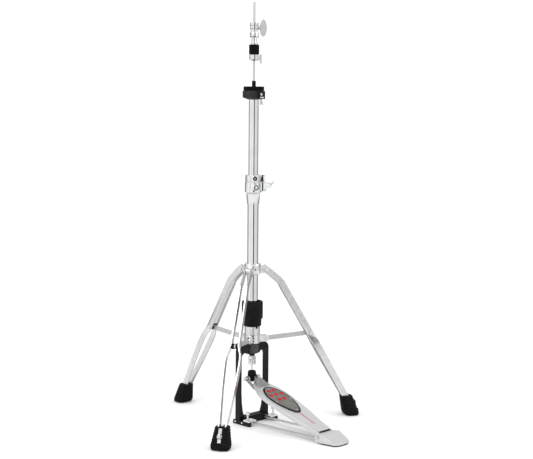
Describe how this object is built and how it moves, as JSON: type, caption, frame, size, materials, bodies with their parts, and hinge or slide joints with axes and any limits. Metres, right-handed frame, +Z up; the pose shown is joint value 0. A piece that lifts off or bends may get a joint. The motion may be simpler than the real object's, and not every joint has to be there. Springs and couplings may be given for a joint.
{
  "type": "hi-hat stand",
  "caption": "Chromed hi-hat stand: tripod of double-braced legs, telescoping column, pull rod with clutch, and a hinged footboard pedal that pulls the rod down.",
  "frame": {"origin": "on the column's axis, at the underside of the cross plate, which stands on the floor", "axes": "+Z up the column, -Y towards the heel end of the pedal, +X to the right seen from the heel end"},
  "size_m": [0.5184, 0.61, 1.071],
  "materials": {
    "chrome": "polished chrome plate",
    "satin_silver": "satin cast",
    "black_plastic": "matte",
    "dark_casting": "satin paint",
    "black_rubber": "matte",
    "black_felt": "felt",
    "olive_grip": "matte"
  },
  "bodies": {
    "base": {"pedal_frame": "dark_casting", "cross_plate": "black_plastic", "lower_bushing": "black_plastic", "clamp_plate_left": "chrome", "clamp_plate_right": "chrome", "radius_rod_left": "chrome", "radius_rod_right": "chrome", "heel_plate": "satin_silver", "heel_pad": "black_rubber", "hinge_pin": "chrome", "spring_housing": "chrome", "lower_tube": "chrome", "height_clamp": "chrome", "tube_bushing": "black_plastic"},
    "thumb_left": {"thumb_screw_left": "chrome"},
    "thumb_right": {"thumb_screw_right": "chrome"},
    "footboard": {"footboard": "satin_silver", "traction_plate": "olive_grip", "toe_bracket": "satin_silver", "toe_axle": "chrome"},
    "pull_rod": {"rod_connector": "chrome", "connector_pin": "chrome", "lower_pull_rod": "chrome", "upper_pull_rod": "chrome", "spring_collar": "chrome", "return_spring": "chrome"},
    "drive_link": {"swivel_stud": "chrome", "swivel_cap": "black_plastic"},
    "tension_knob": {"tension_knob": "black_plastic"},
    "clamp_wing": {"clamp_wing": "chrome"},
    "upper_tube": {"upper_tube": "chrome", "seat_sleeve": "black_plastic"},
    "memory_lock": {"memory_lock": "chrome"},
    "seat": {"seat_cup": "black_plastic", "seat_felt": "black_felt"},
    "tilt_screw": {"tilt_screw": "chrome"},
    "clutch": {"clutch_body": "chrome", "clutch_jam_nut": "chrome", "clutch_felt_upper": "black_felt", "clutch_felt_lower": "black_felt", "clutch_nut": "chrome"},
    "clutch_wing": {"clutch_wing": "chrome"},
    "clutch_lever": {"clutch_lever": "chrome"},
    "brace_collar": {"brace_collar": "chrome"},
    "leg_hub": {"leg_hub": "chrome"},
    "leg_front_left": {"leg_bar_left_front_left": "chrome", "leg_bar_right_front_left": "chrome", "hub_rivet_front_left": "chrome", "foot_front_left": "black_rubber"},
    "brace_front_left": {"brace_front_left": "chrome"},
    "leg_front_right": {"leg_bar_left_front_right": "chrome", "leg_bar_right_front_right": "chrome", "hub_rivet_front_right": "chrome", "foot_front_right": "black_rubber"},
    "brace_front_right": {"brace_front_right": "chrome"},
    "leg_rear": {"leg_bar_left_rear": "chrome", "leg_bar_right_rear": "chrome", "hub_rivet_rear": "chrome", "foot_rear": "black_rubber"},
    "brace_rear": {"brace_rear": "chrome"}
  },
  "joints": [
    {"name": "footboard_hinge", "type": "hinge", "parent": "base", "child": "footboard", "pos_m": [0, -0.262, 0.015], "axis": [-1, 0, 0], "range_deg": [0, 8]},
    {"name": "pull_rod_slide", "type": "slide", "parent": "base", "child": "pull_rod", "axis": [0, 0, -1], "range_m": [0, 0.0395], "stiffness_N_per_m": 1200, "springref_m": -0.02, "deforming": ["return_spring"]},
    {"name": "link_swing", "type": "hinge", "parent": "pull_rod", "child": "drive_link", "pos_m": [0, 0, 0.158], "axis": [1, 0, 0], "range_deg": [0, 14]},
    {"name": "clutch_slide", "type": "slide", "parent": "pull_rod", "child": "clutch", "axis": [0, 0, 1], "range_m": [0, 0.045]},
    {"name": "clutch_wing_turn", "type": "hinge", "parent": "clutch", "child": "clutch_wing", "pos_m": [0.00636, -0.00636, 1.007], "axis": [0.7071, -0.7071, 0], "continuous": true},
    {"name": "clutch_lever_turn", "type": "hinge", "parent": "clutch", "child": "clutch_lever", "pos_m": [0.01202, -0.01202, 0.9247], "axis": [0.7071, 0.7071, 0], "range_deg": [0, 60]},
    {"name": "height_slide", "type": "slide", "parent": "base", "child": "upper_tube", "axis": [0, 0, 1], "range_m": [0, 0.045]},
    {"name": "memory_lock_slide", "type": "slide", "parent": "upper_tube", "child": "memory_lock", "axis": [0, 0, 1], "range_m": [0, 0.1]},
    {"name": "clamp_wing_turn", "type": "hinge", "parent": "base", "child": "clamp_wing", "pos_m": [0.02899, -0.02899, 0.611], "axis": [-0.7071, -0.7071, 0], "continuous": true},
    {"name": "seat_tilt", "type": "hinge", "parent": "upper_tube", "child": "seat", "pos_m": [-0.00919, 0.00919, 0.8283], "axis": [-0.7071, -0.7071, 0], "range_deg": [0, 4]},
    {"name": "tilt_screw_turn", "type": "hinge", "parent": "seat", "child": "tilt_screw", "pos_m": [0.01344, -0.01344, 0.8283], "axis": [0, 0, 1], "continuous": true},
    {"name": "tension_knob_turn", "type": "hinge", "parent": "base", "child": "tension_knob", "pos_m": [0, 0, 0.28], "axis": [0, 0, 1], "continuous": true},
    {"name": "tripod_swivel", "type": "hinge", "parent": "base", "child": "brace_collar", "pos_m": [0, 0, 0.2155], "axis": [0, 0, 1], "range_deg": [-30, 30]},
    {"name": "hub_slide", "type": "slide", "parent": "brace_collar", "child": "leg_hub", "axis": [0, 0, 1], "range_m": [0, 0.1024]},
    {"name": "thumb_left_turn", "type": "hinge", "parent": "base", "child": "thumb_left", "pos_m": [-0.0465, -0.033, 0.0146], "axis": [0, 0, 1], "continuous": true},
    {"name": "thumb_right_turn", "type": "hinge", "parent": "base", "child": "thumb_right", "pos_m": [0.0465, -0.033, 0.0146], "axis": [0, 0, 1], "continuous": true},
    {"name": "leg_fold_front_left", "type": "hinge", "parent": "leg_hub", "child": "leg_front_left", "pos_m": [-0.03118, -0.018, 0.395], "axis": [0.5, -0.866, 0], "range_deg": [0, 13]},
    {"name": "brace_fold_front_left", "type": "hinge", "parent": "brace_collar", "child": "brace_front_left", "pos_m": [-0.03118, -0.018, 0.2155], "axis": [-0.5, 0.866, 0], "range_deg": [0, 45.1]},
    {"name": "leg_fold_front_right", "type": "hinge", "parent": "leg_hub", "child": "leg_front_right", "pos_m": [0.03118, -0.018, 0.395], "axis": [0.5, 0.866, 0], "range_deg": [0, 13]},
    {"name": "brace_fold_front_right", "type": "hinge", "parent": "brace_collar", "child": "brace_front_right", "pos_m": [0.03118, -0.018, 0.2155], "axis": [-0.5, -0.866, 0], "range_deg": [0, 45.1]},
    {"name": "leg_fold_rear", "type": "hinge", "parent": "leg_hub", "child": "leg_rear", "pos_m": [0, 0.036, 0.395], "axis": [-1, 0, 0], "range_deg": [0, 13]},
    {"name": "brace_fold_rear", "type": "hinge", "parent": "brace_collar", "child": "brace_rear", "pos_m": [0, 0.036, 0.2155], "axis": [1, 0, 0], "range_deg": [0, 45.1]}
  ],
  "couplings": [
    {"joint": "pull_rod_slide", "follows": "footboard_hinge", "m_per_rad": 0.27724},
    {"joint": "link_swing", "follows": "footboard_hinge", "ratio": 1.725},
    {"joint": "leg_fold_front_left", "follows": "hub_slide", "rad_per_m": 2.2147},
    {"joint": "brace_fold_front_left", "follows": "hub_slide", "rad_per_m": 7.6781},
    {"joint": "leg_fold_front_right", "follows": "hub_slide", "rad_per_m": 2.2147},
    {"joint": "brace_fold_front_right", "follows": "hub_slide", "rad_per_m": 7.6781},
    {"joint": "leg_fold_rear", "follows": "hub_slide", "rad_per_m": 2.2147},
    {"joint": "brace_fold_rear", "follows": "hub_slide", "rad_per_m": 7.6781}
  ]
}
